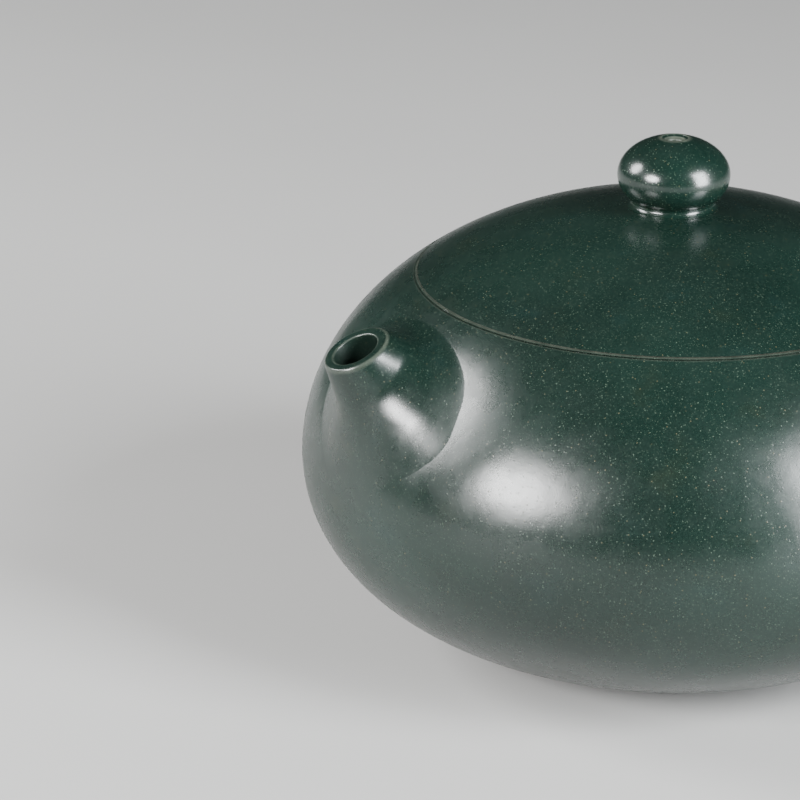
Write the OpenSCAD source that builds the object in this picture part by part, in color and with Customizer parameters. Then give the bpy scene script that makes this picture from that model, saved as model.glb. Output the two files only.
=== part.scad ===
// Small round clay teapot with a flush domed lid, a bead knob, a short
// spout and a loop handle. Millimetres, +Z up, origin at the centre of
// the foot on the pot's axis. The spout points along +X and the handle
// along -X.

/* [Body] */
// Radius of the belly at its widest
belly_r = 50; // [45:0.5:55]
// Height of the crown from the belly to the top of the closed curve
crown_h = 34.9; // [32:0.1:38]
// Depth of the bowl from the belly to the bottom of the closed curve
bowl_h = 27.3; // [26:0.1:29]
// Fullness of the lower half, 0 for a plain ellipse
bowl_fullness = 0.12; // [0.05:0.01:0.16]
// Thickness of the clay wall
wall = 3; // [2.8:0.1:3.2]

/* [Foot] */
// Angle below the belly at which the foot cuts the bowl
foot_s = -67; // [-68:0.5:-66]
// Angle below the belly at which the base disc joins the wall
base_joint_s = -58; // [-60:0.5:-56]
// Radius of the shallow hollow pressed into the underside
hollow_r = 16; // [12:0.5:17]
// Depth of that hollow
hollow_depth = 0.8; // [0.4:0.1:1.2]

/* [Mouth and lid] */
// Angle above the belly of the seam between body and lid
seam_s = 46; // [45:0.5:47]
// Angle above the belly at which the mouth ring joins the wall
ring_joint_s = 44.5; // [43.5:0.25:44.5]
// Inner radius of the mouth
mouth_r = 30; // [29.5:0.1:30.5]
// Depth of the mouth ring below the seam
ring_depth = 3.6; // [3:0.1:4.5]
// Bevel on the edges that meet at the seam
seam_bevel = 0.3; // [0.1:0.05:0.4]
// Gap between the flange and the mouth, on the radius
flange_gap = 0.3; // [0.2:0.05:0.5]
// Thickness of the flange
flange_t = 2.5; // [2:0.1:3]
// Depth of the flange below the seam
flange_depth = 8.5; // [6:0.5:10]
// Thickness of the lid
lid_t = 3.2; // [2.8:0.1:3.6]

/* [Knob] */
// Radius of the bead
knob_r = 7.55; // [7:0.05:8.5]
// Half the height of the bead
knob_half_h = 5.2; // [4.5:0.1:6]
// Height of the bead's centre above the lid
knob_rise = 4.45; // [4.2:0.05:4.8]
// Radius of the knob's foot on the lid
knob_foot_r = 6.2; // [6:0.1:6.4]
// Radius of the concave corner round the knob's foot
knob_fillet = 0.75; // [0.5:0.05:0.9]
// Radius of the air hole
vent_r = 0.9; // [0.6:0.1:1.2]
// Radius of the air hole's countersink
vent_mouth_r = 1.75; // [1.5:0.05:2.2]

/* [Spout] */
// Distance of the spout's mouth from the pot's axis
mouth_x = 48.4; // [47:0.1:49]
// Height of the spout's mouth below the seam
mouth_drop = 3.05; // [2.6:0.05:3.4]
// Angle of the spout above level
spout_up = 46.5; // [44:0.5:49]
// Angle above level at which the mouth's plane faces
mouth_up = 64; // [60:0.5:66]
// Outer radius at the mouth
lip_r = 4.2; // [4:0.05:4.4]
// Growth of the half width sideways per millimetre away from the mouth
taper_side = 0.42; // [0.38:0.01:0.48]
// Further growth of that half width with the cube of the distance
spread = 0.0052; // [0.0044:0.0002:0.0058]
// Growth of the half width towards the lid
taper_top = 0.45; // [0.35:0.01:0.5]
// Growth of the half width towards the foot
taper_low = 0.45; // [0.35:0.01:0.55]
// How square the upper half of the section is at the root: 2 is an ellipse
section_power = 3.3; // [2.6:0.1:3.5]
// Distance from the mouth at which the section is that square
section_len = 7; // [6:0.5:8]
// Reach of the concave corner at the root, by the lid
flare_top = 2.3; // [1.8:0.1:2.6]
// Reach of the concave corner at the root, at the sides
flare_side = 2.6; // [2:0.1:2.8]
// Reach of the concave corner at the root, towards the foot
flare_low = 4.2; // [3:0.1:4.5]
// Radius of the bore
bore_r = 2.95; // [2.8:0.05:3]
// Offset of the bore from the spout's axis, towards the lid
bore_offset = 0.52; // [0.4:0.02:0.6]
// Sides round the spout
spout_sides = 36; // [24:4:60]
// Rings along the spout
spout_rings = 10; // [8:1:16]

/* [Strainer] */
// Outer radius of the strainer dome
dome_r = 6.5; // [6.2:0.1:6.8]
// Thickness of the dome
dome_t = 1.2; // [1:0.1:1.4]
// Radius of each strainer hole
hole_r = 0.7; // [0.5:0.05:0.8]
// Angle between the rings of holes
hole_step = 26; // [24:1:27]
// Number of rings of holes round the middle hole
hole_rings = 2; // [1:1:2]

/* [Handle] */
// Half the thickness at the upper root
handle_top_t = 3; // [2.7:0.1:3.3]
// Half the thickness at the lower root
handle_low_t = 3.7; // [3.3:0.1:3.9]
// Width across the handle over its thickness in its plane
handle_flat = 1.12; // [1:0.02:1.2]
// Rings along the handle
handle_rings = 40; // [24:2:60]
// Sides round the handle
handle_sides = 16; // [12:2:24]

/* [Hidden] */
$fn = 96;

clay = [0.10, 0.22, 0.18];
clay_lid = [0.13, 0.25, 0.20];
clay_inside = [0.17, 0.28, 0.23];

step_s = 3;
belly_z = -bowl_h * sin(foot_s);
seam_z = belly_z + crown_h * sin(seam_s);
seam_r = belly_r * cos(seam_s);
flange_r = mouth_r - flange_gap;
flange_in_r = flange_r - flange_t;
// where the floor inside meets the curve of the inner wall
floor_s = asin((wall - belly_z) / (bowl_h - wall));
hollow_ramp = 1.5;

// knob seat: a small flat on the crown of the lid
seat_z = belly_z + crown_h * sqrt(1 - pow(knob_foot_r / belly_r, 2));
knob_z = seat_z + knob_rise;

// steps that find the spout's root and the slope of its side
root_step = 0.05;
slope_step = 0.5;

// spout: mouth centre, and the middle of its root on the body
mouth_z = seam_z - mouth_drop;
aim = [cos(spout_up), sin(spout_up)];
root_len = root_distance(0);
root_p = [mouth_x - root_len * aim[0], mouth_z - root_len * aim[1]];
channel_r = bore_r + 0.5;
// distance from the mouth at which the spout spreads no faster
spread_len = 11;
inner_p = root_p - wall * aim;
reach = 14;
// the flare round the root ends this far under the skin
flare_sink = 0.35;
// and this far beyond where the corner has run out
flare_hem = 0.4;
// how the rings crowd towards the mouth
ring_crowding = 1.3;
// how far past the mouth and past the root the uncut spout goes
past_mouth = 2;
past_root = 1.2;

// handle centre line: two joined cubic curves, in the XZ plane
handle_top = [[-43.6, 41.0], [-56.0, 46.4], [-73.4, 43.5], [-75.6, 28.5]];
handle_low = [[-75.6, 28.5], [-77.2, 17.6], [-61.0, 3.4], [-45.2, 13.6]];

// a point on the pot's skin at angle s above the belly, or on a surface
// that lies inset below the skin
function skin(s, inset = 0) = [
    (belly_r - inset) * cos(s) * (s < 0 ? 1 + bowl_fullness * pow(sin(s), 2) : 1),
    belly_z + ((s < 0 ? bowl_h : crown_h) - inset) * sin(s)
];
function arc_steps(s0, s1) = ceil(abs(s1 - s0) / step_s);
function skin_run(s0, s1, inset = 0) = [
    for (i = [0:arc_steps(s0, s1)]) skin(s0 + (s1 - s0) * i / arc_steps(s0, s1), inset)
];
// how far along the spout's axis, back from the mouth, the skin lies
function root_distance(d) =
    pow((mouth_x - d * aim[0]) / belly_r, 2)
    + pow((mouth_z - d * aim[1] - belly_z) / crown_h, 2) <= 1 ? d : root_distance(d + root_step);
// half width of the spout at angle a from the lid's side, d behind the mouth
function section(a, d) =
    cos(a) > 0 ? 2 + (section_power - 2) * pow(max(0, min(d / section_len, 1)), 2) : 2;
function spout_r(a, d) = let (
    up = lip_r + (cos(a) > 0 ? taper_top : taper_low) * d,
    side = lip_r + taper_side * d + spread * pow(min(d, spread_len), 3),
    n = section(a, d)
) pow(pow(abs(cos(a)) / up, n) + pow(abs(sin(a)) / side, n), -1 / n);
// distance of a point from the skin, where the spout is
function skin_gap(p) = let (
    r = norm([p[0], p[1]]),
    h = p[2] < belly_z ? bowl_h : crown_h,
    t = (p[2] - belly_z) / h,
    level = norm([r / belly_r, t])
) (level - 1) * level / norm([r / pow(belly_r, 2), t / h]);
// a point h along the spout from its mouth, r from its axis
function spout_p(a, r, h) = [
    mouth_x - r * cos(a) * aim[1] + h * aim[0],
    r * sin(a),
    mouth_z + r * cos(a) * aim[0] + h * aim[1]
];
function cone_gap(a, r, h) = let (
    growth = (spout_r(a, slope_step - h) - spout_r(a, -slope_step - h)) / (2 * slope_step)
) (r - spout_r(a, -h)) / norm([1, growth]);
function flare(a) = flare_side + (flare_top - flare_side) * pow(max(0, cos(a)), 2)
    + (flare_low - flare_side) * pow(max(0, -cos(a)), 2);
// distance from spout and body together, with the concave corner between
function blend_gap(a, r, h) = let (
    b = skin_gap(spout_p(a, r, h)) + flare_sink,
    c = cone_gap(a, r, h),
    k = flare(a)
) max(k, min(b, c)) - norm([max(k - b, 0), max(k - c, 0)]);
// height along the spout at which a line beside its axis leaves the blend
function blend_h(a, r, low = -30, high = 3, steps = 20) = let (mid = (low + high) / 2)
    steps == 0 ? mid
    : blend_gap(a, r, mid) < 0 ? blend_h(a, r, mid, high, steps - 1)
    : blend_h(a, r, low, mid, steps - 1);
// how far from the axis the corner has run out
function flare_r(a, low = 4, high = 30, steps = 20) = let (
    mid = (low + high) / 2,
    h = blend_h(a, mid)
) steps == 0 ? mid
    : cone_gap(a, mid, h) < flare(a) + flare_hem ? flare_r(a, mid, high, steps - 1)
    : flare_r(a, low, mid, steps - 1);
function spout_ring(i, ends) = [
    for (k = [0:spout_sides - 1]) let (
        a = 360 * k / spout_sides,
        r = lip_r + (ends[k] - lip_r) * pow(i / spout_rings, ring_crowding)
    ) [-r * cos(a), r * sin(a), blend_h(a, r)]
];
function curve(p, t) = pow(1 - t, 3) * p[0] + 3 * t * pow(1 - t, 2) * p[1]
    + 3 * t * t * (1 - t) * p[2] + pow(t, 3) * p[3];
function slope(p, t) = pow(1 - t, 2) * (p[1] - p[0]) + 2 * t * (1 - t) * (p[2] - p[1])
    + t * t * (p[3] - p[2]);
function handle_p(u) = u < 0.5 ? curve(handle_top, 2 * u) : curve(handle_low, 2 * u - 1);
function handle_d(u) = u < 0.5 ? slope(handle_top, 2 * u) : slope(handle_low, 2 * u - 1);
function handle_ring(u) = let (
    p = handle_p(u),
    d = handle_d(u) / norm(handle_d(u)),
    t = handle_top_t + (handle_low_t - handle_top_t) * u
) [
    for (i = [0:handle_sides - 1]) let (a = 360 * i / handle_sides) [
        p[0] - d[1] * t * cos(a),
        handle_flat * t * sin(a),
        p[1] + d[0] * t * cos(a)
    ]
];

// the wall's own stretch of the skin, from the foot up to the mouth's ring
function wall_run(inset = 0) = concat(
    skin_run(base_joint_s, 0, inset),
    skin_run(step_s, ring_joint_s, inset)
);
function backwards(list) = [for (i = [len(list) - 1:-1:0]) list[i]];

// everything inside that stretch
module body_solid(inset = 0) {
    rotate_extrude() polygon(concat(
        [[0, skin(ring_joint_s, inset)[1]], [0, skin(base_joint_s, inset)[1]]],
        wall_run(inset)
    ));
}

// puts a shape made along +Z on a line through p that rises by up
module aimed(p, up) {
    translate([p[0], 0, p[1]]) rotate([0, 90 - up, 0]) children();
}

module base_disc() {
    color(clay) rotate_extrude() polygon(concat(
        [[0, hollow_depth], [hollow_r, hollow_depth], [hollow_r + hollow_ramp, 0]],
        skin_run(foot_s, base_joint_s),
        skin_run(base_joint_s, floor_s, wall),
        [[0, wall]]
    ));
}

module body_wall() {
    color(clay) difference() {
        rotate_extrude() polygon(concat(wall_run(), backwards(wall_run(wall))));
        aimed([mouth_x, mouth_z], spout_up)
            translate([-bore_offset, 0, -root_len - reach]) cylinder(r = channel_r, h = 2 * reach);
    }
}

module mouth_ring() {
    color(clay) rotate_extrude() polygon([
        skin(ring_joint_s),
        skin(seam_s - seam_bevel),
        [seam_r - seam_bevel, seam_z],
        [mouth_r + seam_bevel, seam_z],
        [mouth_r, seam_z - seam_bevel],
        [mouth_r, seam_z - ring_depth],
        skin(ring_joint_s, wall)
    ]);
}

// the spout's outside, from past its mouth down to under the skin
module spout_form() {
    sides = spout_sides;
    tip = [for (k = [0:sides - 1]) let (a = 360 * k / sides, r = spout_r(a, -past_mouth))
        [-r * cos(a), r * sin(a), past_mouth]];
    ends = [for (k = [0:sides - 1]) flare_r(360 * k / sides)];
    rings = concat([tip], [for (i = [0:spout_rings]) spout_ring(i, ends)]);
    last = (len(rings) - 1) * sides;
    hub = len(rings) * sides;
    faces = concat(
        [for (k = [0:len(rings) - 2], i = [0:sides - 1]) let (
            j = (i + 1) % sides,
            a = k * sides
        ) each [
            [a + i, a + sides + j, a + j],
            [a + i, a + sides + i, a + sides + j]
        ]],
        [for (i = [0:sides - 1]) [hub, i, (i + 1) % sides]],
        [for (i = [0:sides - 1]) [hub + 1, last + (i + 1) % sides, last + i]]
    );
    aimed([mouth_x, mouth_z], spout_up) polyhedron(
        points = concat(
            [for (r = rings) each r],
            [[0, 0, past_mouth], [0, 0, -root_len - past_root]]
        ),
        faces = faces
    );
}

module spout() {
    color(clay) difference() {
        spout_form();
        body_solid();
        aimed([mouth_x, mouth_z], spout_up)
            translate([-bore_offset, 0, -root_len - reach]) cylinder(r = bore_r, h = 2 * reach);
        aimed([mouth_x, mouth_z], mouth_up) cylinder(r = reach, h = reach);
    }
}

module strainer_holes() {
    for (ring = [0:hole_rings]) {
        count = ring == 0 ? 1 : 6 * ring;
        for (i = [0:count - 1]) rotate([0, 0, 360 * i / count]) rotate([0, ring * hole_step, 0])
            cylinder(r = hole_r, h = 2 * dome_r);
    }
}

module strainer() {
    color(clay_inside) difference() {
        intersection() {
            aimed(inner_p, spout_up) sphere(r = dome_r);
            body_solid(wall);
        }
        aimed(inner_p, spout_up) sphere(r = dome_r - dome_t);
        aimed(inner_p, spout_up) mirror([0, 0, 1]) strainer_holes();
    }
}

module handle() {
    rings = [for (k = [0:handle_rings]) handle_ring(k / handle_rings)];
    last = handle_rings * handle_sides;
    faces = concat(
        [for (k = [0:handle_rings - 1], i = [0:handle_sides - 1]) let (
            j = (i + 1) % handle_sides,
            a = k * handle_sides
        ) each [
            [a + i, a + j, a + handle_sides + j],
            [a + i, a + handle_sides + j, a + handle_sides + i]
        ]],
        [[for (i = [handle_sides - 1:-1:0]) i]],
        [[for (i = [0:handle_sides - 1]) last + i]]
    );
    color(clay) polyhedron(points = [for (r = rings) each r], faces = faces);
}

module lid_disc() {
    under_s = acos((flange_in_r - 1) / (belly_r - lid_t));
    top_s = acos(knob_foot_r / belly_r);
    inner_top_s = acos(vent_r / (belly_r - lid_t));
    color(clay_lid) rotate_extrude() polygon(concat(
        [[vent_r, seat_z]],
        skin_run(top_s, seam_s + seam_bevel),
        [
            [seam_r - seam_bevel, seam_z],
            [flange_in_r, seam_z]
        ],
        skin_run(under_s, inner_top_s, lid_t)
    ));
}

module lid_flange() {
    low_z = seam_z - flange_depth;
    edge = 0.6;
    color(clay_inside) rotate_extrude() polygon([
        [flange_in_r, seam_z],
        [flange_r, seam_z],
        [flange_r, low_z + edge],
        [flange_r - edge, low_z],
        [flange_in_r + edge, low_z],
        [flange_in_r, low_z + edge]
    ]);
}

module knob() {
    neck_r = knob_foot_r - knob_fillet;
    from_s = -acos(neck_r / knob_r);
    to_s = acos(vent_mouth_r / knob_r);
    steps = 24;
    corner = 5;
    sink = 0.6;
    top_z = knob_z + knob_half_h * sin(to_s);
    color(clay) rotate_extrude() polygon(concat(
        [[vent_r, seat_z]],
        [for (i = [0:corner]) let (a = 90 * i / corner)
            [knob_foot_r - knob_fillet * sin(a), seat_z + knob_fillet * (1 - cos(a))]],
        [for (i = [0:steps]) let (s = from_s + (to_s - from_s) * i / steps)
            [knob_r * cos(s), knob_z + knob_half_h * sin(s)]],
        [[vent_r, top_z - sink]]
    ));
}

base_disc();
body_wall();
mouth_ring();
spout();
strainer();
handle();
lid_disc();
lid_flange();
knob();
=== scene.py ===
"""A small burnished clay teapot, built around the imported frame.

The shapes below are in millimetres, in the frame's own axes: +Z up along the
pot's axis, +X towards the spout. build() turns them into metres.
"""
import math
import bmesh
import bpy
import numpy as np
from mathutils import Matrix, Vector


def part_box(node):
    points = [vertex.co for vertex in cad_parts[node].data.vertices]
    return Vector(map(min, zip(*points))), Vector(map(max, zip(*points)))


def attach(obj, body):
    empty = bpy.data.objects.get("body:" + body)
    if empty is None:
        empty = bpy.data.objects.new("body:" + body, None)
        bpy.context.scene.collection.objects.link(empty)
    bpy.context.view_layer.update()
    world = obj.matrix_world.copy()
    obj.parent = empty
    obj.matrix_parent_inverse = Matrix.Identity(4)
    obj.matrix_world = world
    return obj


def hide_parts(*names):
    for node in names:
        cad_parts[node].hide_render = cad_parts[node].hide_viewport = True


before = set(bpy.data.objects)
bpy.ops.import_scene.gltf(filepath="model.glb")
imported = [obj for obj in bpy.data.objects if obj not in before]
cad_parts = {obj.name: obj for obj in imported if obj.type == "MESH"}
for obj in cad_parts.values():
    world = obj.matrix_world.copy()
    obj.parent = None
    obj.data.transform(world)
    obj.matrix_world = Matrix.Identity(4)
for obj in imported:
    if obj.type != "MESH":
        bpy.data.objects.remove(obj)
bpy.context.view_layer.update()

MM = 0.001


def box_mm(node):
    low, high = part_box(node)
    return np.array(low) / MM, np.array(high) / MM


# ---------------------------------------------------------------- dimensions

# skin of the pot, as in the design: an ellipse above the belly and a fuller
# curve below it, both cut by angle
BELLY_R = box_mm("body_wall")[1][1]
CROWN_H = 34.9
BOWL_H = 27.3
FULLNESS = 0.12
WALL = 3.0
FOOT_S = math.radians(-67)
BASE_JOINT_S = math.radians(-58)
RING_JOINT_S = math.radians(44.5)
SEAM_Z = box_mm("mouth_ring")[1][2]
BELLY_Z = -BOWL_H * math.sin(FOOT_S)
SEAM_S = math.asin((SEAM_Z - BELLY_Z) / CROWN_H)
SEAM_R = BELLY_R * math.cos(SEAM_S)
FOOT_R = BELLY_R * math.cos(FOOT_S) * (1 + FULLNESS * math.sin(FOOT_S) ** 2)
HOLLOW_R = 17.5
HOLLOW_DEPTH = 0.8
FOOT_ROUND = 1.2

# mouth and lid
MOUTH_R = 30.0
RING_DEPTH = 3.6
RING_ROUND = 0.12
LID_ROUND = 0.20
FLANGE_R = box_mm("lid_flange")[1][0]
FLANGE_T = 2.5
FLANGE_LOW_Z = box_mm("lid_flange")[0][2]
LID_T = 3.2

# knob
KNOB_R = box_mm("knob")[1][0]
KNOB_TOP_Z = box_mm("knob")[1][2]
SEAT_Z = box_mm("knob")[0][2]
KNOB_FOOT_R = 6.2
KNOB_FILLET = 0.75
KNOB_RISE = 4.45
KNOB_HALF_H = 5.2
VENT_R = 0.9
VENT_MOUTH_R = 1.75

# spout
SPOUT_UP = math.radians(46.5)
MOUTH_UP = math.radians(64)
MOUTH_C = np.array([48.4, 0.0, SEAM_Z - 3.05])
LIP_R = 4.2
TAPER_SIDE = 0.42
SPREAD = 6.6
SPREAD_FROM = 3.5
SPREAD_LEN = 8.0
TAPER_TOP = 0.45
TAPER_LOW = 0.45
SECTION_POWER = 2.8
SECTION_LEN = 7.0
FLARE_TOP = 2.3
FLARE_SIDE = 1.2
FLARE_LOW = 4.2
DENT = 0.6
DENT_LEN = 7.0
DENT_DEEP = 17.0
DENT_FADE = 6.0
BORE_R = 2.95
BORE_OFFSET = 0.52
LIP_ROUND = 0.26
CHANNEL_R = BORE_R + 0.5
CHANNEL_BACK = 9.0
CHANNEL_LEN = 14.0

# the spout's skirt: how far past the corner it goes, where it starts to sink
# under the skin, over what length and how deep, and how deep its hem goes
SKIRT_PAST = 0.9
SINK_BEFORE = 0.5
SINK_RUN = 1.3
SINK_DEPTH = 0.14
HEM_DEPTH = 0.7
SLEEVE_T = 0.4
SLEEVE_REACH = 0.86

# handle: two joined cubic curves in the XZ plane, from the upper root down
HANDLE_TOP = [(-43.6, 41.0), (-56.0, 46.4), (-73.4, 43.5), (-75.6, 28.5)]
HANDLE_LOW = [(-75.6, 28.5), (-77.2, 17.6), (-61.0, 3.4), (-45.2, 13.6)]
HANDLE_T_TOP = 3.0
HANDLE_T_LOW = 3.7
HANDLE_FLAT = 1.12
HANDLE_FILLET_TOP = 2.6
HANDLE_FILLET_LOW = 3.0
HANDLE_HEM = 0.5
HANDLE_HEM_SINK = 0.07
HANDLE_BURIED = 0.9

# mesh fineness
AROUND = 256
KNOB_AROUND = 192
SPOUT_AROUND = 192
SPOUT_SAMPLES = 160
SPOUT_RINGS = 72
HANDLE_AROUND = 72
HANDLE_RINGS = 150
SKIN_STEP = math.radians(1.2)


# --------------------------------------------------------- the pot's surface

def skin(s, inset=0.0):
    """Radius and height of the pot's skin at angle s above the belly."""
    s = np.asarray(s, float)
    full = np.where(s < 0, 1 + FULLNESS * np.sin(s) ** 2, 1.0)
    r = (BELLY_R - inset) * np.cos(s) * full
    z = BELLY_Z + (np.where(s < 0, BOWL_H, CROWN_H) - inset) * np.sin(s)
    return r, z


def skin_normal(s):
    """Outward normal (radial, up) of the skin at angle s."""
    d = 1e-5
    r0, z0 = skin(s - d)
    r1, z1 = skin(s + d)
    length = np.hypot(r1 - r0, z1 - z0)
    return (z1 - z0) / length, -(r1 - r0) / length


def level(p):
    """1 on the skin, less inside it and more outside, for points (..., 3),
    with how fast it grows away from the axis and upwards."""
    r = np.hypot(p[..., 0], p[..., 1])
    below = p[..., 2] < BELLY_Z
    half = np.where(below, BOWL_H, CROWN_H)
    t = np.clip((p[..., 2] - BELLY_Z) / half, -1.5, 1.5)
    full = np.where(below, 1 + FULLNESS * t * t, 1.0)
    q = r / (BELLY_R * full)
    value = np.hypot(q, t)
    swell = np.where(below, 2 * FULLNESS * t, 0.0)
    grow_r = q / (BELLY_R * full) / value
    grow_z = (t - q * q * swell / full) / half / value
    return value, grow_r, grow_z


def unit(v):
    return v / np.linalg.norm(v, axis=-1, keepdims=True)


def body_gap(p):
    """Distance of points from the skin, positive outside it."""
    value, grow_r, grow_z = level(p)
    return (value - 1) / np.hypot(grow_r, grow_z)


def body_normal(p):
    _, grow_r, grow_z = level(p)
    r = np.hypot(p[..., 0], p[..., 1])
    return unit(np.stack([grow_r * p[..., 0] / r, grow_r * p[..., 1] / r, grow_z], -1))


def gradient(f, p, d=1e-3):
    return np.stack([(f(p + e) - f(p - e)) / (2 * d) for e in np.eye(3) * d], -1)


# ------------------------------------------------------------- mesh building

def enclosed(verts, faces):
    """Six times the volume inside a closed mesh: negative if its faces are
    inside out."""
    verts = np.asarray(verts)
    total = 0.0
    for face in faces:
        a = verts[face[0]]
        for b, c in zip(face[1:-1], face[2:]):
            total += a @ np.cross(verts[b], verts[c])
    return total


def give_normals(mesh, normals):
    """A normal for each vertex, used on faces whose corners all have one."""
    given = np.linalg.norm(normals, axis=1) > 0.5
    loops = []
    for polygon in mesh.polygons:
        whole = all(given[v] for v in polygon.vertices)
        for v in polygon.vertices:
            loops.append(tuple(normals[v]) if whole else (0.0, 0.0, 0.0))
    mesh.normals_split_custom_set(loops)


def build(name, verts, faces, node, body, sharp=None, normals=None, marks=None):
    """Makes a piece that replaces one CAD node and rides on its body.

    normals holds a normal for each vertex, or zeros where Blender works it
    out. sharp is a set of vertex pairs, and marks are named values at the
    vertices.
    """
    if enclosed(verts, faces) < 0:
        faces = [face[::-1] for face in faces]
    mesh = bpy.data.meshes.new(name)
    mesh.from_pydata((np.asarray(verts) * MM).tolist(), [], faces)
    mesh.validate()
    mesh.update()
    for polygon in mesh.polygons:
        polygon.use_smooth = True
    if sharp:
        for edge in mesh.edges:
            pair = tuple(sorted(edge.vertices))
            edge.use_edge_sharp = pair in sharp
    for mark, values in (marks or {}).items():
        attribute = mesh.attributes.new(mark, "FLOAT", "POINT")
        attribute.data.foreach_set("value", np.asarray(values, np.float32))
    if normals is not None:
        give_normals(mesh, normals)
    piece = bpy.data.objects.new(name, mesh)
    bpy.context.scene.collection.objects.link(piece)
    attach(piece, body)
    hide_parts(node)
    return piece


class Outline:
    """The closed outline of a turned piece: its points in order, with the
    skin's normal where a point is on the skin, and marks."""

    def __init__(self):
        self.points = []
        self.normals = []
        self.sharp = []
        self.marks = {"wear": [], "raw": []}

    def add(self, r, z, normal=(0.0, 0.0), sharp=False, wear=0.0, raw=0.0):
        self.points.append((float(r), float(z)))
        self.normals.append((float(normal[0]), float(normal[1])))
        self.sharp.append(sharp)
        self.marks["wear"].append(wear)
        self.marks["raw"].append(raw)

    def skin_run(self, s0, s1, sharp_ends=(True, True)):
        """The skin from angle s0 to s1."""
        steps = max(2, int(math.ceil(abs(s1 - s0) / SKIN_STEP)))
        for i in range(steps + 1):
            s = s0 + (s1 - s0) * i / steps
            r, z = skin(s)
            ends = (i == 0 and sharp_ends[0]) or (i == steps and sharp_ends[1])
            self.add(r, z, skin_normal(s), ends)

    def inner_run(self, s0, s1, inset, raw=1.0):
        steps = max(2, int(math.ceil(abs(s1 - s0) / (2 * SKIN_STEP))))
        for i in range(steps + 1):
            r, z = skin(s0 + (s1 - s0) * i / steps, inset)
            self.add(r, z, raw=raw)

    def corner(self, before, at, after, radius, steps=5, wear=0.0, raw=0.0):
        """A rounded corner at a point, between the points before and after."""
        before, at, after = (np.array(p, float) for p in (before, at, after))
        a = unit(before - at)
        b = unit(after - at)
        half = 0.5 * math.acos(float(np.clip(a @ b, -1, 1)))
        reach = radius / math.tan(half)
        centre = at + unit(a + b) * radius / math.sin(half)
        p0, p1 = at + a * reach, at + b * reach
        a0 = math.atan2(*(p0 - centre)[::-1])
        a1 = math.atan2(*(p1 - centre)[::-1])
        turn = (a1 - a0 + math.pi) % (2 * math.pi) - math.pi
        for i in range(steps + 1):
            angle = a0 + turn * i / steps
            share = 1 - abs(2 * i / steps - 1)
            r = centre[0] + radius * math.cos(angle)
            z = centre[1] + radius * math.sin(angle)
            self.add(r, z, wear=wear * (0.35 + 0.65 * share), raw=raw)

    def line(self, start, end, spacing=1.2, raw=0.0):
        """Points between two others, without the two."""
        start, end = np.array(start, float), np.array(end, float)
        count = int(np.linalg.norm(end - start) / spacing)
        for i in range(1, count + 1):
            r, z = start + (end - start) * i / (count + 1)
            self.add(r, z, raw=raw)


def turned(name, outline, node, body, open_at_axis=False, around=AROUND):
    """Turns an outline about the pot's axis. With open_at_axis the outline
    starts and ends on the axis; otherwise it closes on itself."""
    points = np.array(outline.points)
    n = len(points)
    angles = 2 * math.pi * np.arange(around) / around
    cos, sin = np.cos(angles), np.sin(angles)
    rows = range(1, n - 1) if open_at_axis else range(n)
    verts, normals, run = [], [], []
    marks = {k: [] for k in outline.marks}
    along = np.r_[0, np.cumsum(np.hypot(*np.diff(points, axis=0).T))]
    for i in rows:
        r, z = points[i]
        nr, nz = outline.normals[i]
        verts.append(np.stack([r * cos, r * sin, np.full(around, z)], 1))
        normals.append(np.stack([nr * cos, nr * sin, np.full(around, nz)], 1))
        run += [along[i]] * around
        for k in marks:
            marks[k] += [outline.marks[k][i]] * around
    index = {row: k * around for k, row in enumerate(rows)}
    faces = []
    pairs = [(i, (i + 1) % n) for i in range(n if not open_at_axis else n - 1)]
    for i, j in pairs:
        if i not in index or j not in index:
            continue
        for k in range(around):
            m = (k + 1) % around
            faces.append((index[i] + k, index[i] + m, index[j] + m, index[j] + k))
    verts = np.concatenate(verts)
    normals = np.concatenate(normals)
    if open_at_axis:
        for row, end in ((1, 0), (n - 2, n - 1)):
            hub = len(verts)
            verts = np.vstack([verts, [0.0, 0.0, points[end][1]]])
            normals = np.vstack([normals, [0.0, 0.0, 0.0]])
            run.append(along[end])
            for k in marks:
                marks[k].append(outline.marks[k][end])
            for k in range(around):
                m = (k + 1) % around
                pair = (index[row] + k, index[row] + m)
                faces.append((hub, *pair) if end else (hub, *pair[::-1]))
    sharp = set()
    for i in rows:
        if outline.sharp[i]:
            for k in range(around):
                sharp.add(tuple(sorted((index[i] + k, index[i] + (k + 1) % around))))
    marks["run"] = run
    return build(name, verts, faces, node, body, sharp, normals, marks)


# ------------------------------------------------------------- turned pieces

def make_base_disc():
    """Underside with its pressed hollow, the foot's ring and the floor."""
    o = Outline()
    hollow_steps, floor_steps = 16, 6
    for i in range(hollow_steps + 1):
        t = i / hollow_steps
        depth = HOLLOW_DEPTH * 0.5 * (1 + math.cos(math.pi * t ** 3))
        o.add(HOLLOW_R * t, depth, raw=0.6)
    up_s = FOOT_S + math.radians(2.6)
    corner_at = (FOOT_R + 0.15, 0)
    o.corner((HOLLOW_R, 0), corner_at, skin(up_s), FOOT_ROUND, wear=0.5, raw=0.3)
    o.skin_run(up_s + math.radians(1.2), BASE_JOINT_S, sharp_ends=(False, True))
    r_in, z_in = skin(BASE_JOINT_S, WALL)
    o.add(r_in, z_in, sharp=True, raw=1.0)
    floor_s = math.asin((WALL - BELLY_Z) / (BOWL_H - WALL))
    o.inner_run(BASE_JOINT_S - math.radians(1), floor_s + math.radians(1), WALL)
    r_floor = skin(floor_s, WALL)[0]
    for i in range(1, floor_steps + 1):
        o.add(r_floor * (1 - i / floor_steps) * 0.97, WALL, raw=1.0)
    o.points[-1] = (0.0, WALL)
    return turned("base_disc_clay", o, "base_disc", "pot", open_at_axis=True)


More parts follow.
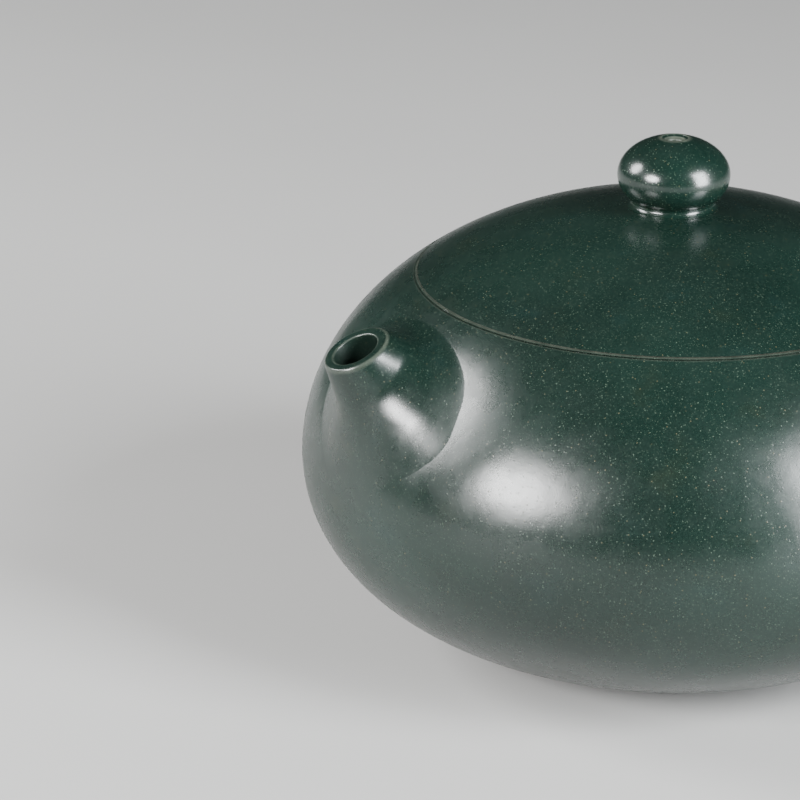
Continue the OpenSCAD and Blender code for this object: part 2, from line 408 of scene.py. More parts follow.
def make_body_wall():
    """The wall from foot to mouth, with the hole behind the spout."""
    o = Outline()
    o.skin_run(BASE_JOINT_S, RING_JOINT_S)
    r, z = skin(RING_JOINT_S, WALL)
    o.add(r, z, sharp=True, raw=1.0)
    o.inner_run(RING_JOINT_S - SKIN_STEP, BASE_JOINT_S + SKIN_STEP, WALL)
    r, z = skin(BASE_JOINT_S, WALL)
    o.add(r, z, sharp=True, raw=1.0)
    wall = turned("body_wall_clay", o, "body_wall", "pot")
    cut_channel(wall)
    press_dent(wall)
    return wall


def cut_channel(wall):
    """Cuts the way through from the chamber to the spout's bore."""
    axis = Vector((math.cos(SPOUT_UP), 0, math.sin(SPOUT_UP)))
    lidward = Vector((-math.sin(SPOUT_UP), 0, math.cos(SPOUT_UP)))
    centre = Vector(MOUTH_C) + BORE_OFFSET * lidward - CHANNEL_BACK * axis
    turn = axis.to_track_quat("Z", "Y").to_matrix().to_4x4()
    place = Matrix.Translation(centre * MM) @ turn
    mesh = bpy.data.meshes.new("channel")
    form = bmesh.new()
    bmesh.ops.create_cone(form, cap_ends=True, segments=64, radius1=CHANNEL_R * MM,
                          radius2=CHANNEL_R * MM, depth=CHANNEL_LEN * MM, matrix=place)
    form.to_mesh(mesh)
    form.free()
    cutter = bpy.data.objects.new("channel", mesh)
    bpy.context.scene.collection.objects.link(cutter)
    cut = wall.modifiers.new("channel", "BOOLEAN")
    cut.operation, cut.solver, cut.object = "DIFFERENCE", "EXACT", cutter
    bpy.context.view_layer.update()
    ready = wall.evaluated_get(bpy.context.evaluated_depsgraph_get())
    wall.data = bpy.data.meshes.new_from_object(ready)
    wall.modifiers.clear()
    bpy.data.objects.remove(cutter)


def press_dent(wall):
    """Presses the wall's outside in beside the spout's root, and gives the
    whole outside its true normals."""
    points = np.array([v.co[:] for v in wall.data.vertices]) / MM
    on_skin = np.abs(body_gap(points)) < 0.01
    deep = np.where(on_skin, dented_gap(points), 0.0)
    points = points - deep[:, None] * body_normal(points)
    for vertex, point in zip(wall.data.vertices, points * MM):
        vertex.co = point
    give_normals(wall.data, np.where(on_skin[:, None], unit(gradient(dented_gap, points)), 0.0))


def make_mouth_ring():
    """The rim of the mouth: landing, rounded edges and the ring inside."""
    o = Outline()
    top_s = SEAM_S - math.radians(0.25)
    o.skin_run(RING_JOINT_S, top_s, sharp_ends=(True, False))
    edge = (SEAM_R, SEAM_Z)
    inner = (MOUTH_R, SEAM_Z)
    o.corner(skin(top_s), edge, inner, RING_ROUND, wear=0.1)
    o.line((SEAM_R - RING_ROUND, SEAM_Z), (MOUTH_R + 0.35, SEAM_Z), raw=0.7)
    o.corner(edge, inner, (MOUTH_R, SEAM_Z - RING_DEPTH), 0.35, wear=0.6, raw=0.5)
    o.line((MOUTH_R, SEAM_Z - 0.4), (MOUTH_R, SEAM_Z - RING_DEPTH + 0.5), raw=0.8)
    low = (MOUTH_R, SEAM_Z - RING_DEPTH)
    joint = skin(RING_JOINT_S, WALL)
    o.corner(inner, low, joint, 0.5, raw=1.0)
    o.add(*joint, sharp=True, raw=1.0)
    return turned("mouth_ring_clay", o, "mouth_ring", "pot")


def make_lid_disc():
    """The lid: crown, rim worn pale with a painted highlight line, landing and the dome inside."""
    o = Outline()
    o.add(VENT_R, SEAT_Z, sharp=True)
    o.line((VENT_R, SEAT_Z), (KNOB_FOOT_R, SEAT_Z))
    rim_s = SEAM_S + math.radians(0.30)
    o.skin_run(math.acos(KNOB_FOOT_R / BELLY_R), rim_s, sharp_ends=(True, False))
    flange_in = FLANGE_R - FLANGE_T
    # the rim's rounding is painted pale at full strength: partly wear, partly a painted highlight
    # line along the lid's edge
    o.corner(skin(rim_s), (SEAM_R, SEAM_Z), (flange_in, SEAM_Z), LID_ROUND, wear=1.0)
    o.line((SEAM_R - LID_ROUND, SEAM_Z), (flange_in, SEAM_Z), raw=0.7)
    o.add(flange_in, SEAM_Z, sharp=True, raw=1.0)
    under_r = flange_in - 1.0
    under_s = math.acos(under_r / (BELLY_R - LID_T))
    under = skin(under_s, LID_T)
    top_s = math.acos(VENT_R / (BELLY_R - LID_T))
    inside = skin(under_s + math.radians(4), LID_T)
    o.corner((flange_in, SEAM_Z), under, inside, 0.5, raw=1.0)
    o.inner_run(under_s + math.radians(3), top_s, LID_T)
    return turned("lid_disc_clay", o, "lid_disc", "lid")


def make_lid_flange():
    """The ring under the lid that drops into the mouth."""
    o = Outline()
    inner = FLANGE_R - FLANGE_T
    high, low, lean = SEAM_Z, FLANGE_LOW_Z, 0.35
    o.add(inner, high, sharp=True, raw=0.9)
    o.add(FLANGE_R, high, sharp=True, raw=0.7)
    o.line((FLANGE_R, high), (FLANGE_R - lean, low + 0.8), raw=0.7)
    outer_low, inner_low = (FLANGE_R - lean, low), (inner + 0.15, low)
    o.corner((FLANGE_R, high), outer_low, inner_low, 0.9, wear=0.5, raw=0.6)
    o.corner(outer_low, inner_low, (inner, high), 0.7, wear=0.3, raw=0.8)
    o.line((inner + 0.1, low + 0.9), (inner, high), raw=0.9)
    return turned("lid_flange_clay", o, "lid_flange", "lid")


def make_knob():
    """The bead knob, its neck and the countersunk air hole."""
    o = Outline()
    centre_z = SEAT_Z + KNOB_RISE
    o.add(VENT_R, SEAT_Z, sharp=True)
    o.line((VENT_R, SEAT_Z), (KNOB_FOOT_R, SEAT_Z))
    o.add(KNOB_FOOT_R, SEAT_Z, sharp=True)
    fillet_steps, bead_steps = 10, 72
    for i in range(1, fillet_steps):
        a = 0.5 * math.pi * i / fillet_steps
        r = KNOB_FOOT_R - KNOB_FILLET * math.sin(a)
        o.add(r, SEAT_Z + KNOB_FILLET * (1 - math.cos(a)))
    neck_r = KNOB_FOOT_R - KNOB_FILLET
    s0, s1 = -math.acos(neck_r / KNOB_R), math.acos(VENT_MOUTH_R / KNOB_R)
    rim_wear = 0.25
    for i in range(1, bead_steps + 1):
        s = s0 + (s1 - s0) * i / bead_steps
        top = rim_wear * max(0.0, 1 - (bead_steps - i) / 3)
        o.add(KNOB_R * math.cos(s), centre_z + KNOB_HALF_H * math.sin(s), wear=top)
    sink = ((VENT_MOUTH_R + 0.1, KNOB_TOP_Z - 0.02), (VENT_R, KNOB_TOP_Z - 0.55))
    o.line(*sink, spacing=0.15)
    for k in range(1, 5):
        o.marks["wear"][-k] = rim_wear
    o.corner(sink[0], sink[1], (VENT_R, SEAT_Z), 0.2, wear=0.4, raw=0.6)
    o.line((VENT_R, KNOB_TOP_Z - 0.9), (VENT_R, SEAT_Z), raw=1.0)
    return turned("knob_clay", o, "knob", "lid", around=KNOB_AROUND)


# --------------------------------------------------------------------- spout

AIM = np.array([math.cos(SPOUT_UP), 0.0, math.sin(SPOUT_UP)])
LIDWARD = np.array([-math.sin(SPOUT_UP), 0.0, math.cos(SPOUT_UP)])
SIDEWAYS = np.array([0.0, 1.0, 0.0])
MOUTH_TILT = math.tan(MOUTH_UP - SPOUT_UP)


def spout_point(theta, rho, h):
    """A point h along the spout from its mouth, rho from its axis."""
    out = np.cos(theta)[..., None] * LIDWARD + np.sin(theta)[..., None] * SIDEWAYS
    return MOUTH_C + rho[..., None] * out + h[..., None] * AIM


def spout_r(theta, d):
    """Half width of the spout at angle theta from the lid's side and d
    behind its mouth: round at the mouth, broad and squarer at the root."""
    c, s = np.cos(theta), np.sin(theta)
    up = LIP_R + np.where(c > 0, TAPER_TOP, TAPER_LOW) * d
    side = LIP_R + TAPER_SIDE * d + SPREAD * smooth((d - SPREAD_FROM) / SPREAD_LEN)
    power = 2 + (SECTION_POWER - 2) * np.clip(d / SECTION_LEN, 0, 1) ** 2
    power = np.where(c > 0, power, 2.0)
    wide = (np.abs(c) / up) ** power + (np.abs(s) / side) ** power
    return wide ** (-1 / power)


def cone_gap(theta, rho, h):
    growth = spout_r(theta, 0.5 - h) - spout_r(theta, -0.5 - h)
    return (rho - spout_r(theta, -h)) / np.hypot(1, growth)


def flare(theta):
    """How near to both spout and skin the concave corner begins."""
    top, low = np.maximum(np.cos(theta), 0) ** 2, np.maximum(-np.cos(theta), 0) ** 2
    return FLARE_SIDE + (FLARE_TOP - FLARE_SIDE) * top + (FLARE_LOW - FLARE_SIDE) * low


def spout_polar(p):
    """Angle, distance from the axis and height of points round the spout."""
    d = p - MOUTH_C
    side, up = d @ SIDEWAYS, d @ LIDWARD
    return np.arctan2(side, up), np.hypot(side, up), d @ AIM


def dented_gap(p):
    """Distance from the body's skin, pressed in a little beside the root."""
    theta, rho, h = spout_polar(p)
    u = np.clip(cone_gap(theta, rho, h) / DENT_LEN, 0, 1)
    near_root = smooth((DENT_DEEP + h) / DENT_FADE)
    return body_gap(p) + DENT * near_root * np.abs(np.sin(theta)) ** 3 * (1 - u) ** 2


def spout_gap(p):
    """Distance of points from the body and spout together, blended."""
    theta, rho, h = spout_polar(p)
    body, cone, reach = dented_gap(p), cone_gap(theta, rho, h), flare(theta)
    near = np.hypot(np.maximum(reach - body, 0), np.maximum(reach - cone, 0))
    return np.maximum(reach, np.minimum(body, cone)) - near


def first_surface(theta, rho, gap, low, high, steps=30):
    """Height at which a line along the spout enters gap < 0 from outside."""
    low, high = low.copy(), high.copy()
    for _ in range(steps):
        mid = 0.5 * (low + high)
        inside = gap(spout_point(theta, rho, mid)) < 0
        low = np.where(inside, mid, low)
        high = np.where(inside, high, mid)
    return 0.5 * (low + high)


def flare_reach(theta):
    """How far from the axis the flare round the root meets the skin."""
    low, high = np.full(theta.shape, LIP_R), np.full(theta.shape, 30.0)
    deep, out = np.full(theta.shape, -40.0), np.full(theta.shape, 3.0)
    for _ in range(30):
        rho = 0.5 * (low + high)
        h = first_surface(theta, rho, dented_gap, deep, out)
        inside = cone_gap(theta, rho, h) < flare(theta)
        low, high = np.where(inside, rho, low), np.where(inside, high, rho)
    return rho


def smooth(t):
    t = np.clip(t, 0, 1)
    return t * t * (3 - 2 * t)


def resample(curve, count):
    """The same number of points along each curve, evenly by length."""
    steps = np.linalg.norm(np.diff(curve, axis=0), axis=-1)
    along = np.concatenate([np.zeros((1, curve.shape[1])), np.cumsum(steps, 0)])
    want = np.linspace(0, 1, count)
    out = np.empty((count, *curve.shape[1:]))
    for j in range(curve.shape[1]):
        t = along[:, j] / along[-1, j]
        for k in range(3):
            out[:, j, k] = np.interp(want, t, curve[:, j, k])
    return out, along[-1]


class Rings:
    """Rings of points in order, each with its normals and marks."""

    def __init__(self, around):
        self.around = around
        self.points = []
        self.normals = []
        self.wear = []
        self.raw = []

    def put(self, points, normals=None, wear=0.0, raw=0.0):
        self.points.append(points)
        self.normals.append(np.zeros((self.around, 3)) if normals is None else normals)
        self.wear.append(wear)
        self.raw.append(raw)

    def faces(self, closed):
        """Faces from each ring to the next; closed joins the last to the
        first, otherwise the two ends get a cap each."""
        n, count = self.around, len(self.points)
        faces = []
        for i in range(count if closed else count - 1):
            j = (i + 1) % count
            for k in range(n):
                m = (k + 1) % n
                faces.append((i * n + k, i * n + m, j * n + m, j * n + k))
        if not closed:
            last = (count - 1) * n
            faces.append(tuple(range(n))[::-1])
            faces.append(tuple(last + k for k in range(n)))
        return faces

    def build(self, name, node, run, closed):
        """The piece, with run as each ring's or each point's place along
        the burnishing strokes."""
        marks = {"wear": self.wear, "raw": self.raw, "run": run}
        flat = {}
        for mark, values in marks.items():
            values = np.asarray(values, float)
            flat[mark] = np.repeat(values, self.around) if values.ndim == 1 else values.ravel()
        return build(name, np.concatenate(self.points), self.faces(closed), node, "pot",
                     normals=np.concatenate(self.normals), marks=flat)


def spout_outside(theta):
    """Rings of points from the skirt up to the lip with their normals, the
    way out of the body at the skirt, and the outline's mean length."""
    across = np.tile(theta, (SPOUT_SAMPLES, 1))
    meet = flare_reach(theta)
    lip_rho = np.full(theta.shape, LIP_R)
    for _ in range(8):
        lip_rho = spout_r(theta, lip_rho * np.cos(theta) * MOUTH_TILT)
    t = np.linspace(1, 0, SPOUT_SAMPLES)[:, None] ** 1.6
    rho = lip_rho + (meet + SKIRT_PAST - lip_rho) * t
    deep, out = np.full(rho.shape, -40.0), np.full(rho.shape, 3.0)
    h = first_surface(across, rho, spout_gap, deep, out)
    h[-1] = -lip_rho * np.cos(theta) * MOUTH_TILT
    curve, length = resample(spout_point(across, rho, h), SPOUT_RINGS)
    normals = unit(gradient(spout_gap, curve))
    skin_n = body_normal(curve)
    off = np.linalg.norm(np.cross(curve - MOUTH_C, AIM), axis=-1)
    sink = SINK_DEPTH * smooth((off - (meet - SINK_BEFORE)) / SINK_RUN)
    return curve - sink[..., None] * skin_n, normals, skin_n[0], float(length.mean())


def bore_ring(theta, radius, h):
    """Points round the bore's axis, h along the spout from its mouth."""
    return spout_point(theta, np.full(theta.shape, radius), h) + BORE_OFFSET * LIDWARD


def rounded(start, at, end, u):
    """A point on the curve that rounds a corner."""
    return (1 - u) ** 2 * start + 2 * u * (1 - u) * at + u * u * end


def make_spout():
    """Cone, lip and bore, flared into the body with a skirt that sinks
    under the body's skin where the flare has become the skin itself."""
    theta = 2 * math.pi * np.arange(SPOUT_AROUND) / SPOUT_AROUND
    curve, normals, skirt_n, length = spout_outside(theta)
    rings = Rings(SPOUT_AROUND)

    # outside, from the skirt up to just under the lip
    outer_edge = curve[-1]
    cut = SPOUT_RINGS - 1
    while np.linalg.norm(curve[cut] - outer_edge, axis=-1).min() < LIP_ROUND:
        cut -= 1
    for i in range(cut + 1):
        rings.put(curve[i], normals[i])

    # the lip's two rounded edges, painted a little pale: partly wear, partly painted highlight lines
    bore_top = -(BORE_OFFSET + BORE_R * np.cos(theta)) * MOUTH_TILT
    inner_edge = bore_ring(theta, BORE_R, bore_top)
    across = np.linalg.norm(inner_edge - outer_edge, axis=-1)[:, None]
    step_in = unit(inner_edge - outer_edge) * np.minimum(LIP_ROUND * 1.15, 0.48 * across)
    down = bore_ring(theta, BORE_R, bore_top - LIP_ROUND)
    steps = 7
    for u in np.arange(1, steps + 1) / steps:
        rings.put(rounded(curve[cut], outer_edge, outer_edge + step_in, u),
                  wear=0.12 * math.sin(math.pi * u))
    for u in np.arange(steps + 1) / steps:
        rings.put(rounded(inner_edge - step_in, inner_edge, down, u),
                  wear=0.10 * math.sin(math.pi * u), raw=0.5 * u)

    # the bore, down into the channel through the wall, and back to the hem
    root = first_surface(theta, np.full(theta.shape, BORE_R), body_gap,
                         np.full(theta.shape, -30.0), np.zeros(theta.shape))
    sleeve = root - SLEEVE_REACH * WALL
    steps = 12
    for u in np.arange(1, steps + 1) / steps:
        h = (bore_top - LIP_ROUND) * (1 - u) + sleeve * u
        rings.put(bore_ring(theta, BORE_R, h), raw=0.5 + 0.5 * u)
    for h in (sleeve, root - HEM_DEPTH):
        rings.put(bore_ring(theta, BORE_R + SLEEVE_T, h), raw=1.0)
    rings.put(curve[0] - HEM_DEPTH * skirt_n, raw=1.0)
    run = np.linspace(0, length * 1.6, len(rings.points))
    return rings.build("spout_clay", "spout", run, closed=True)


# -------------------------------------------------------------------- handle

def handle_line(u):
    """Centre point and direction of the handle, u from 0 to 1."""
    u = np.asarray(u, float)
    low = u >= 0.5
    t = np.where(low, 2 * u - 1, 2 * u)[..., None]
    p = [np.where(low[..., None], np.array(b), np.array(a)) for a, b in zip(HANDLE_TOP, HANDLE_LOW)]
    c = (1 - t) ** 3 * p[0] + 3 * t * (1 - t) ** 2 * p[1] + 3 * t * t * (1 - t) * p[2] + t ** 3 * p[3]
    d = (1 - t) ** 2 * (p[1] - p[0]) + 2 * t * (1 - t) * (p[2] - p[1]) + t * t * (p[3] - p[2])
    zero = np.zeros(c.shape[:-1])
    centre = np.stack([c[..., 0], zero, c[..., 1]], -1)
    return centre, unit(np.stack([d[..., 0], zero, d[..., 1]], -1))


def handle_skin(u, a):
    """A point on the handle's surface and the way out from its centre."""
    centre, d = handle_line(u)
    side = np.stack([-d[..., 2], np.zeros(d.shape[:-1]), d[..., 0]], -1)
    t = HANDLE_T_TOP + (HANDLE_T_LOW - HANDLE_T_TOP) * np.asarray(u)
    out = np.cos(a)[..., None] * side
    out = out + HANDLE_FLAT * np.sin(a)[..., None] * np.array([0.0, 1.0, 0.0])
    return centre + t[..., None] * out, unit(out)


def handle_at_gap(a, want, u_in, u_out):
    """For each line along the handle, where it is that far from the body."""
    low, high = np.full(a.shape, u_in), np.full(a.shape, u_out)
    for _ in range(40):
        mid = 0.5 * (low + high)
        near = body_gap(handle_skin(mid, a)[0]) < want
        low, high = np.where(near, mid, low), np.where(near, high, mid)
    return 0.5 * (low + high)


def handle_flare(a, fillet, u_in, u_out):
    """Rings and normals from the buried end to where the flare leaves the
    handle, for one end of it."""
    corner = 12
    rings, normals = [], []
    for i in range(corner + 1):
        psi = 0.5 * math.pi * (1 - i / corner)
        gap, push = fillet * (1 - math.sin(psi)), fillet * (1 - math.cos(psi))
        p, out = handle_skin(handle_at_gap(a, gap + 1e-4, u_in, u_out), a)
        n = body_normal(p)
        q = p + push * unit(out - (out * n).sum(-1, keepdims=True) * n)
        for _ in range(3):
            q = q - (body_gap(q) - gap)[:, None] * body_normal(q)
        rings.append(q)
        normals.append(unit(math.cos(psi) * out + math.sin(psi) * body_normal(q)))
    foot_n = body_normal(rings[0])
    hem = rings[0] + HANDLE_HEM * unit(rings[0] - rings[0].mean(0))
    hem = hem - (body_gap(hem) + HANDLE_HEM_SINK)[:, None] * body_normal(hem)
    buried = hem - HANDLE_BURIED * foot_n
    return [buried, hem] + rings, [None, foot_n] + normals


def make_handle():
    """The loop, with a concave flare where each end meets the body."""
    a = 2 * math.pi * np.arange(HANDLE_AROUND) / HANDLE_AROUND
    top_end, low_end = (0.0, 0.25), (1.0, 0.75)
    top = handle_flare(a, HANDLE_FILLET_TOP, *top_end)
    low = handle_flare(a, HANDLE_FILLET_LOW, *low_end)
    u_top = handle_at_gap(a, HANDLE_FILLET_TOP, *top_end)
    u_low = handle_at_gap(a, HANDLE_FILLET_LOW, *low_end)
    rings = Rings(HANDLE_AROUND)
    for points, normals in zip(*top):
        rings.put(points, normals)
    for i in range(1, HANDLE_RINGS):
        rings.put(handle_skin(u_top + (u_low - u_top) * i / HANDLE_RINGS, a)[0])
    for points, normals in zip(low[0][::-1], low[1][::-1]):
        rings.put(points, normals)
    run = np.tile(a * HANDLE_T_TOP, (len(rings.points), 1))
    return rings.build("handle_clay", "handle", run, closed=False)


# ----------------------------------------------------------------- materials

class Nodes:
    """A short way to write a material's node tree."""

    def __init__(self, name):
        self.material = bpy.data.materials.new(name)
        self.material.use_nodes = True
        self.tree = self.material.node_tree
        self.tree.nodes.clear()

    def add(self, kind, inputs=None, **settings):
        node = self.tree.nodes.new(kind)
        for key, value in settings.items():
            setattr(node, key, value)
        for key, value in (inputs or {}).items():
            socket = node.inputs[key]
            if isinstance(value, bpy.types.NodeSocket):
                self.tree.links.new(value, socket)
            else:
                socket.default_value = value
        return node

    def math(self, operation, *values):
        node = self.add("ShaderNodeMath", operation=operation)
        for socket, value in zip(node.inputs, values):
            if isinstance(value, bpy.types.NodeSocket):
                self.tree.links.new(value, socket)
            else:
                socket.default_value = value
        return node.outputs[0]

    def times(self, a, b):
        return self.math("MULTIPLY", a, b)

    def total(self, *values):
        result = values[0]
        for value in values[1:]:
            result = self.math("ADD", result, value)
        return result

    def ramp(self, value, low, high, to_low=0.0, to_high=1.0):
        node = self.add(
            "ShaderNodeMapRange",
            {"Value": value, "From Min": low, "From Max": high, "To Min": to_low, "To Max": to_high},
            interpolation_type="SMOOTHSTEP")
        return node.outputs[0]

    def mix(self, factor, a, b):
        node = self.add("ShaderNodeMix", data_type="RGBA")
        for index, value in ((0, factor), (6, a), (7, b)):
            socket = node.inputs[index]
            if isinstance(value, bpy.types.NodeSocket):
                self.tree.links.new(value, socket)
            else:
                socket.default_value = value
        return node.outputs[2]

    def noise(self, where, scale, detail=2.0, roughness=0.5):
        node = self.add(
            "ShaderNodeTexNoise",
            {"Vector": where, "Scale": scale, "Detail": detail, "Roughness": roughness})
        return node.outputs["Fac"]

    def scaled(self, where, factors):
        node = self.add("ShaderNodeVectorMath", {0: where, 1: factors}, operation="MULTIPLY")
        return node.outputs[0]


def colour(r, g, b):
    return (r, g, b, 1.0)


CLAY_DEEP = colour(0.0018, 0.0078, 0.0055)
CLAY_MID = colour(0.0040, 0.0130, 0.0095)
CLAY_OLIVE = colour(0.0085, 0.0135, 0.0072)
CLAY_TEAL = colour(0.0034, 0.0140, 0.0125)
CLAY_RAW = colour(0.0110, 0.0240, 0.0175)
# pale worn clay, also painted on the lid's rim and the spout's lip as a highlight line
CLAY_WORN_AND_HIGHLIGHT = colour(0.3200, 0.3400, 0.2700)
SPECK_PALE = colour(0.0800, 0.1150, 0.0800)
SPECK_GOLD = colour(0.1000, 0.0850, 0.0400)
SPECK_DARK = colour(0.0008, 0.0026, 0.0020)


def specks(n, where, cell, size, share, seed):
    """Dots of a given size in mm, in a share of the cells."""
    shifted = n.add("ShaderNodeVectorMath", {0: where, 1: (seed, seed * 1.7, seed * 2.3)},
                    operation="ADD").outputs[0]
    cells = n.add("ShaderNodeTexVoronoi", {"Vector": shifted, "Scale": 1.0 / cell},
                  voronoi_dimensions="3D", feature="F1")
    chosen = n.math("LESS_THAN", n.add("ShaderNodeSeparateColor", {0: cells.outputs["Color"]})
                    .outputs[0], share)
    edge = size / cell
    dot = n.ramp(cells.outputs["Distance"], edge * 1.35, edge * 0.45)
    return n.times(dot, chosen)


class Sand:
    """The sand in the clay: dots of four kinds."""

    def __init__(self, n, where):
        self.dark = specks(n, where, 0.45, 0.085, 0.35, 3.1)
        self.fine = specks(n, where, 0.26, 0.060, 0.50, 7.3)
        self.pale = specks(n, where, 0.50, 0.085, 0.42, 11.9)
        self.gold = specks(n, where, 0.72, 0.090, 0.36, 17.7)
        self.light = n.total(self.pale, self.gold)


def clay_colour(n, where, sand, grain, raw, wear):
    """Clouded greens, a little olive and teal, fine grain, sand, and pale
    clay where it is worn, and as painted highlight lines on the lid's rim and spout's lip."""
    cloud = n.noise(where, 0.045, 3.0, 0.55)
    patch = n.noise(n.scaled(where, (1.0, 1.0, 1.3)), 0.11, 4.0, 0.6)
    base = n.mix(n.ramp(cloud, 0.30, 0.70), CLAY_DEEP, CLAY_MID)
    base = n.mix(n.ramp(patch, 0.55, 0.80, 0.0, 0.55), base, CLAY_OLIVE)
    base = n.mix(n.ramp(patch, 0.45, 0.20, 0.0, 0.60), base, CLAY_TEAL)
    base = n.mix(n.ramp(grain, 0.42, 0.78, 0.0, 0.45), base, CLAY_RAW)
    base = n.mix(n.times(raw, 0.8), base, CLAY_RAW)
    for dots, share, tint in ((sand.dark, 0.60, SPECK_DARK), (sand.fine, 0.30, SPECK_PALE),
                              (sand.pale, 0.42, SPECK_PALE), (sand.gold, 0.48, SPECK_GOLD)):
        base = n.mix(n.times(dots, share), base, tint)
    # pale clay on worn edges, partly a painted highlight where the lid's rim and the spout's lip
    # catch the light
    rub_and_highlight = n.times(wear, n.ramp(n.noise(where, 0.5, 3.0, 0.6), 0.30, 0.62, 0.55, 1.0))
    return n.mix(n.times(rub_and_highlight, 0.80), base, CLAY_WORN_AND_HIGHLIGHT)


def clay_roughness(n, where, sand, grain, strokes, raw, polish):
    smear = n.noise(where, 0.28, 3.0, 0.6)
    rough = n.total(n.ramp(smear, 0.25, 0.75, 0.235, 0.290),
                    n.ramp(strokes, 0.20, 0.80, -0.006, 0.010),
                    n.times(grain, 0.03))
    rough = n.math("SUBTRACT", rough, polish)
    return n.total(rough, n.times(raw, 0.26), n.times(sand.light, 0.12))


def clay_relief(n, where, sand, strokes, raw):
    """Height in mm: soft waves of the hand tool, strokes, grain and sand,
    and deeper scores where the clay is raw."""
    waves = n.noise(where, 0.16, 2.0, 0.5)
    peel = n.noise(where, 1.1, 2.0, 0.5)
    tooth = n.noise(where, 3.6, 2.0, 0.6)
    return n.total(n.times(waves, 0.060), n.times(strokes, 0.0016), n.times(peel, 0.0070),
                   n.times(tooth, 0.0040), n.times(sand.light, 0.006),
                   n.times(sand.dark, -0.006), n.times(n.times(raw, strokes), 0.030),
                   n.times(n.times(raw, tooth), 0.012))


def clay(name, raw_bias=0.0, polish=0.0):
    """Fired clay with sand in it: burnished where raw is 0, rough and paler
    where it is 1. polish makes the burnish brighter."""
    n = Nodes(name)
    place = n.add("ShaderNodeTexCoord").outputs["Object"]
    where = n.scaled(place, (1 / MM, 1 / MM, 1 / MM))
    wear = n.add("ShaderNodeAttribute", attribute_name="wear").outputs["Fac"]
    raw_mark = n.add("ShaderNodeAttribute", attribute_name="raw").outputs["Fac"]
    run = n.add("ShaderNodeAttribute", attribute_name="run").outputs["Fac"]
    raw = n.math("MAXIMUM", raw_mark, raw_bias)
    sand = Sand(n, where)
    grain = n.noise(where, 3.2, 3.0, 0.7)

    # burnishing strokes run round a turned piece and along the handle
    parts = n.add("ShaderNodeSeparateXYZ", {0: where}).outputs
    lane = n.add("ShaderNodeCombineXYZ", {
        0: n.times(parts[0], 0.05), 1: n.times(parts[1], 0.05), 2: run}).outputs[0]
    strokes = n.noise(lane, 1.6, 3.0, 0.65)

    bump = n.add("ShaderNodeBump", {
        "Height": clay_relief(n, where, sand, strokes, raw), "Distance": MM, "Strength": 1.0})
    shader = n.add("ShaderNodeBsdfPrincipled", {
        "Base Color": clay_colour(n, where, sand, grain, raw, wear),
        "Roughness": clay_roughness(n, where, sand, grain, strokes, raw, polish),
        "Normal": bump.outputs[0], "IOR": 1.52, "Specular IOR Level": 0.5})
    out = n.add("ShaderNodeOutputMaterial")
    n.tree.links.new(shader.outputs[0], out.inputs["Surface"])
    return n.material


def floor_material():
    """A pale matt table top with the faintest grain."""
    n = Nodes("pale_floor")
    place = n.add("ShaderNodeTexCoord").outputs["Object"]
    tint = n.mix(n.noise(place, 9.0, 4.0), colour(0.330, 0.327, 0.320), colour(0.365, 0.362, 0.355))
    shader = n.add("ShaderNodeBsdfPrincipled", {"Base Color": tint, "Roughness": 0.75})
    out = n.add("ShaderNodeOutputMaterial")
    n.tree.links.new(shader.outputs[0], out.inputs["Surface"])
    return n.material


# --------------------------------------------------------------- the picture

VIEW_FROM = math.radians(57)      # the camera's side of the pot, from +X
CAMERA_BACK = 411.7
CAMERA_HIGH = 186.8
CAMERA_DOWN = math.radians(20.685)
CAMERA_LEFT = math.radians(5.091)
LENS_PER_SENSOR = 4.0


def towards(side, rise, start=VIEW_FROM):
    """A direction: degrees to the right of the camera, and above level."""
    a, e = start + math.radians(side), math.radians(rise)
    return Vector((math.cos(a) * math.cos(e), math.sin(a) * math.cos(e), math.sin(e)))


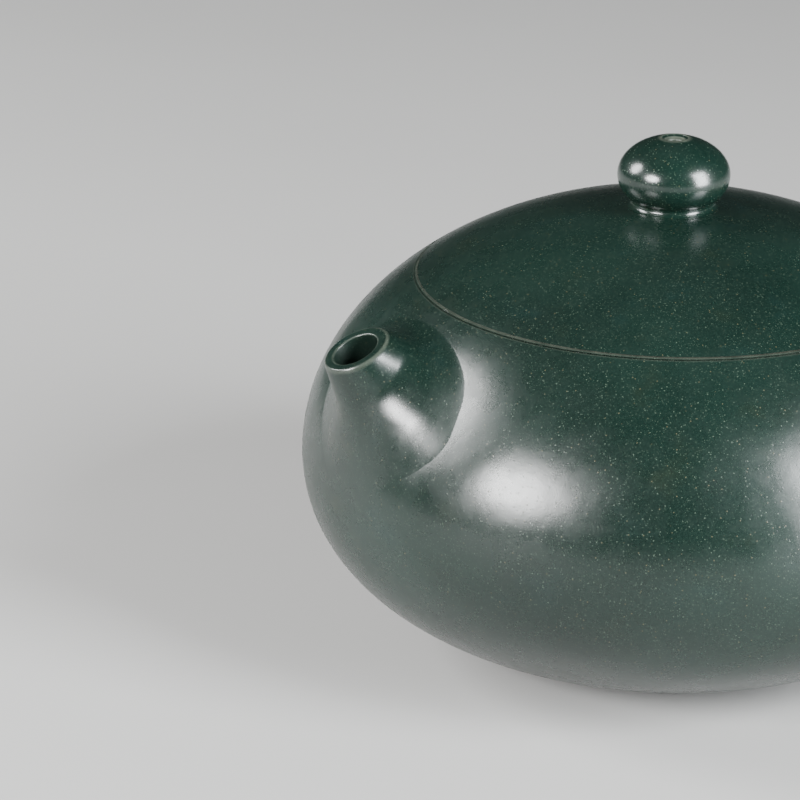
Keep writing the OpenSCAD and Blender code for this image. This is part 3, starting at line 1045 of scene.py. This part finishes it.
def make_camera():
    data = bpy.data.cameras.new("camera")
    data.sensor_width = 36
    data.lens = LENS_PER_SENSOR * data.sensor_width
    data.clip_start, data.clip_end = 0.01, 50
    camera = bpy.data.objects.new("camera", data)
    bpy.context.scene.collection.objects.link(camera)
    back = Vector((math.cos(VIEW_FROM), math.sin(VIEW_FROM), 0)) * CAMERA_BACK * MM
    camera.location = back + Vector((0, 0, CAMERA_HIGH * MM))
    heading = VIEW_FROM + math.pi + CAMERA_LEFT
    look = Vector((math.cos(heading) * math.cos(CAMERA_DOWN),
                   math.sin(heading) * math.cos(CAMERA_DOWN), -math.sin(CAMERA_DOWN)))
    camera.rotation_euler = look.to_track_quat("-Z", "Y").to_euler()
    bpy.context.scene.camera = camera


def soft_light(name, side, rise, distance, width, height, power, tint=(1, 1, 1), disk=False):
    data = bpy.data.lights.new(name, "AREA")
    data.shape = "ELLIPSE" if disk else "RECTANGLE"
    data.size, data.size_y = width, height
    data.energy = power
    data.color = tint
    light = bpy.data.objects.new(name, data)
    bpy.context.scene.collection.objects.link(light)
    aim = Vector((0, 0, 0.035))
    light.location = aim + towards(side, rise) * distance
    light.rotation_euler = (aim - light.location).to_track_quat("-Z", "Y").to_euler()


def make_floor():
    """A plain table top, a hair below the foot so the two don't coincide."""
    mesh = bpy.data.meshes.new("floor")
    half = 6.0
    low = -0.02 * MM
    corners = [(-half, -half, low), (half, -half, low), (half, half, low), (-half, half, low)]
    mesh.from_pydata(corners, [], [(0, 1, 2, 3)])
    floor = bpy.data.objects.new("floor", mesh)
    bpy.context.scene.collection.objects.link(floor)
    floor.data.materials.append(floor_material())


def make_world():
    world = bpy.data.worlds.new("studio")
    world.use_nodes = True
    background = world.node_tree.nodes["Background"]
    background.inputs["Color"].default_value = colour(0.80, 0.82, 0.85)
    background.inputs["Strength"].default_value = 0.05
    bpy.context.scene.world = world


make_camera()
make_floor()
make_world()
soft_light("key", -46, 22, 0.75, 0.30, 0.26, 14.0, disk=True)
soft_light("left", -97, 29, 0.75, 0.26, 0.34, 8.0, disk=True)
soft_light("right", 60, 18, 0.75, 0.30, 0.62, 32.0, tint=(0.95, 0.98, 1.0))
soft_light("overhead", -150, 74, 1.2, 1.2, 1.2, 0.4)

burnished = clay("burnished_clay")
polished = clay("polished_clay", polish=0.06)
raw_clay = clay("raw_clay", raw_bias=0.6)

for make in (make_base_disc, make_body_wall, make_mouth_ring, make_spout, make_handle,
             make_lid_disc):
    make().data.materials.append(burnished)
make_knob().data.materials.append(polished)
make_lid_flange().data.materials.append(raw_clay)

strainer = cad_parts["strainer"]
strainer.data.materials.clear()
strainer.data.materials.append(raw_clay)
